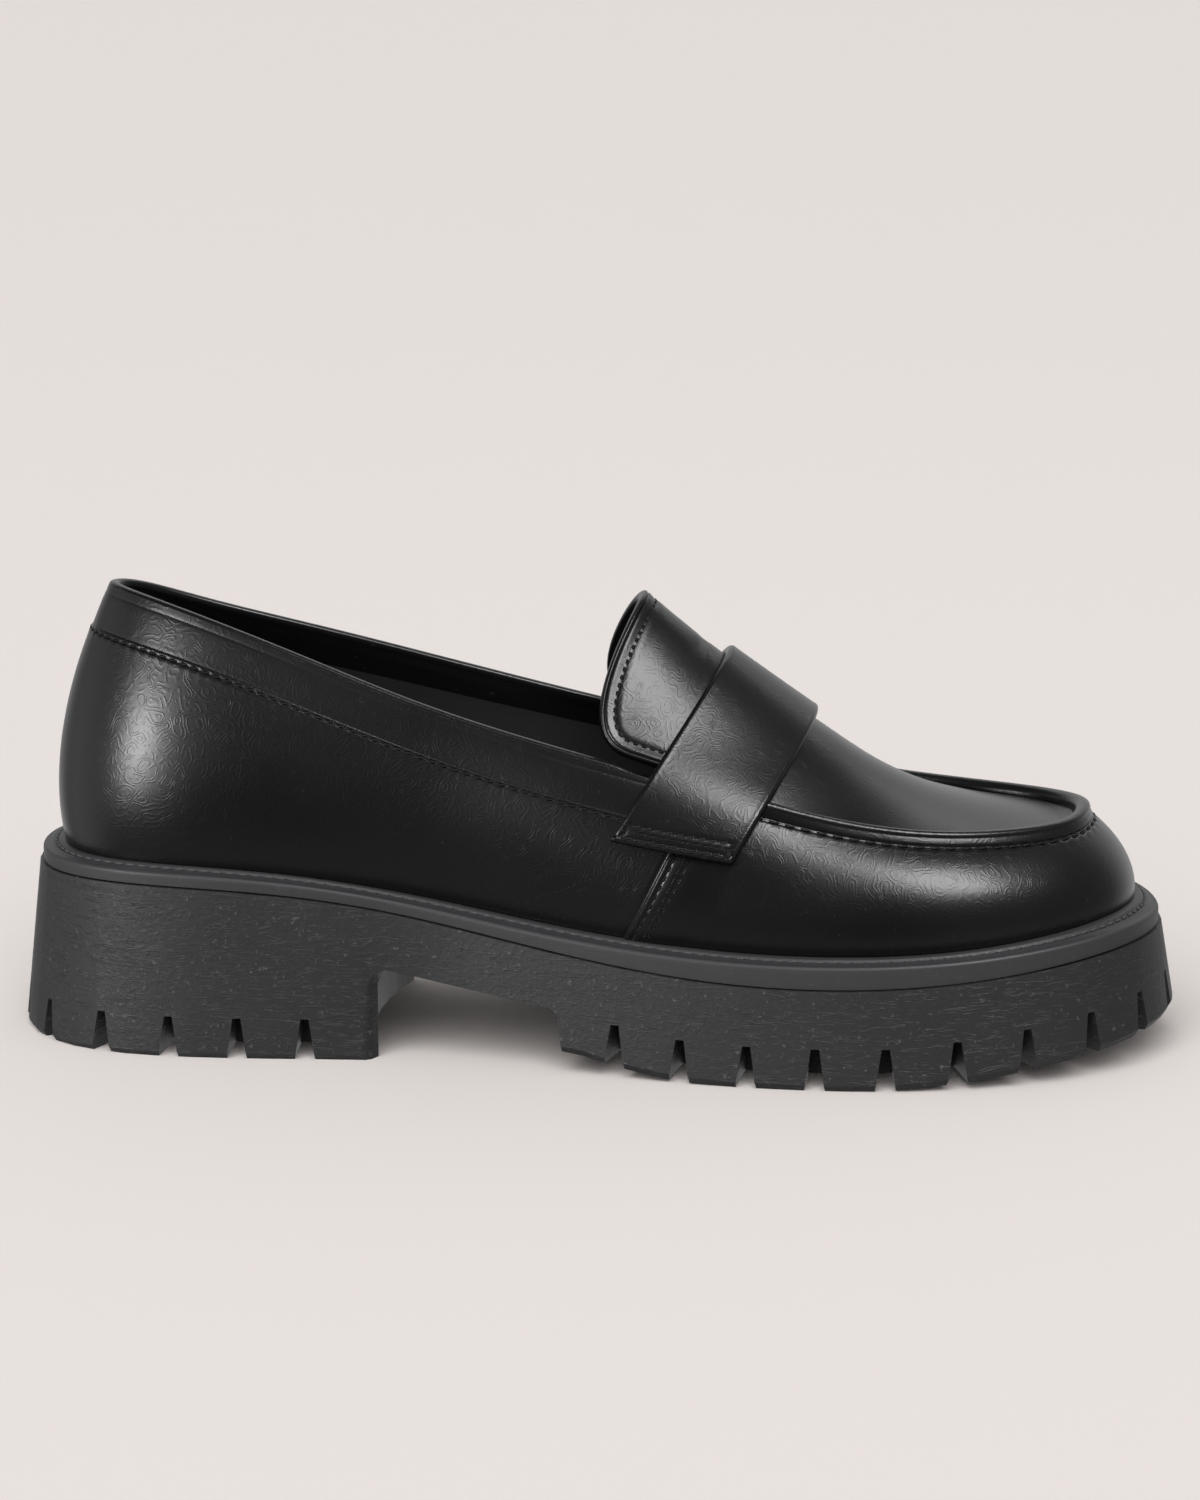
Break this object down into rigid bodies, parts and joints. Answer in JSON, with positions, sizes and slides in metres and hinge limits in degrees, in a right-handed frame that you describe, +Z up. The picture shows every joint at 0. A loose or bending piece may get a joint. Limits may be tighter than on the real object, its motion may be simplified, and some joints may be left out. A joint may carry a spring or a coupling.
{
  "type": "chunky lug sole loafer",
  "caption": "Slip-on loafer with a saddle strap over the instep, a raised apron seam, a low open collar and a thick lugged platform sole with a block heel.",
  "frame": {"origin": "on the floor, under the centre of the sole's outline", "axes": "+X to the toe, +Z up, -Y to the outer side of the foot"},
  "size_m": [0.2798, 0.1062, 0.1081],
  "materials": {
    "black_leather": "smooth polished calf with a fine creased grain",
    "charcoal_rubber": "matt, finely scored along its length",
    "black_lining": "matt lining leather"
  },
  "bodies": {
    "root": {"outsole": "charcoal_rubber", "welt": "charcoal_rubber", "insole": "black_lining", "upper": "black_leather", "tongue": "black_leather", "saddle_strap": "black_leather"}
  },
  "joints": []
}
